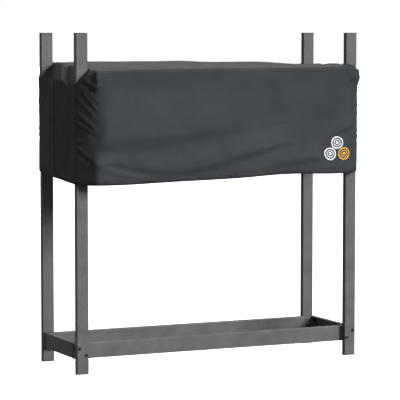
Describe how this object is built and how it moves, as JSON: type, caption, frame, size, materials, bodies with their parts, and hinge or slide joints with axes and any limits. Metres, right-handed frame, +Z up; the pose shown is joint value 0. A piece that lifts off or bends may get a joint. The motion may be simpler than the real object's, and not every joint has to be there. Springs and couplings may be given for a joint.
{
  "type": "firewood log rack",
  "caption": "Open firewood rack of rectangular steel tube with a bolted base frame and a fitted cloth cover that slides on its uprights.",
  "frame": {"origin": "on the floor, under the middle of the rack's footprint", "axes": "+X along the rack's width to its right end, +Y from its front to its back, +Z up"},
  "size_m": [1.1262, 0.4972, 1.2],
  "materials": {
    "frame_coat": "satin",
    "moulded_plug": "matte",
    "fastener": "satin",
    "cover_cloth": "matte",
    "hem_tape": "matte"
  },
  "bodies": {
    "rack": {"beam_back": "frame_coat", "beam_front": "frame_coat", "beam_plug_back_left": "moulded_plug", "beam_plug_back_right": "moulded_plug", "beam_plug_front_left": "moulded_plug", "beam_plug_front_right": "moulded_plug", "foot_plug_back_left": "moulded_plug", "foot_plug_back_right": "moulded_plug", "foot_plug_front_left": "moulded_plug", "foot_plug_front_right": "moulded_plug", "frame_bolts_back": "fastener", "frame_bolts_front": "fastener", "frame_nuts_back": "fastener", "frame_nuts_front": "fastener", "frame_washers_back": "fastener", "frame_washers_front": "fastener", "post_back_left": "frame_coat", "post_back_right": "frame_coat", "post_front_left": "frame_coat", "post_front_right": "frame_coat", "side_rail_left": "frame_coat", "side_rail_right": "frame_coat", "top_plug_back_left": "moulded_plug", "top_plug_back_right": "moulded_plug", "top_plug_front_left": "moulded_plug", "top_plug_front_right": "moulded_plug"},
    "cover": {"cover_back": "cover_cloth", "cover_corner_back_left": "cover_cloth", "cover_corner_back_right": "cover_cloth", "cover_corner_front_left": "cover_cloth", "cover_corner_front_right": "cover_cloth", "cover_end_left": "cover_cloth", "cover_end_right": "cover_cloth", "cover_front": "cover_cloth", "cover_gusset_back_left": "cover_cloth", "cover_gusset_back_right": "cover_cloth", "cover_gusset_front_left": "cover_cloth", "cover_gusset_front_right": "cover_cloth", "cover_hem_tape": "hem_tape", "cover_shoulder_left": "cover_cloth", "cover_shoulder_right": "cover_cloth", "cover_top": "cover_cloth"}
  },
  "joints": [
    {"name": "cover_slide", "type": "slide", "parent": "rack", "child": "cover", "axis": [0, 0, 1], "range_m": [-0.55, 0.52]}
  ]
}
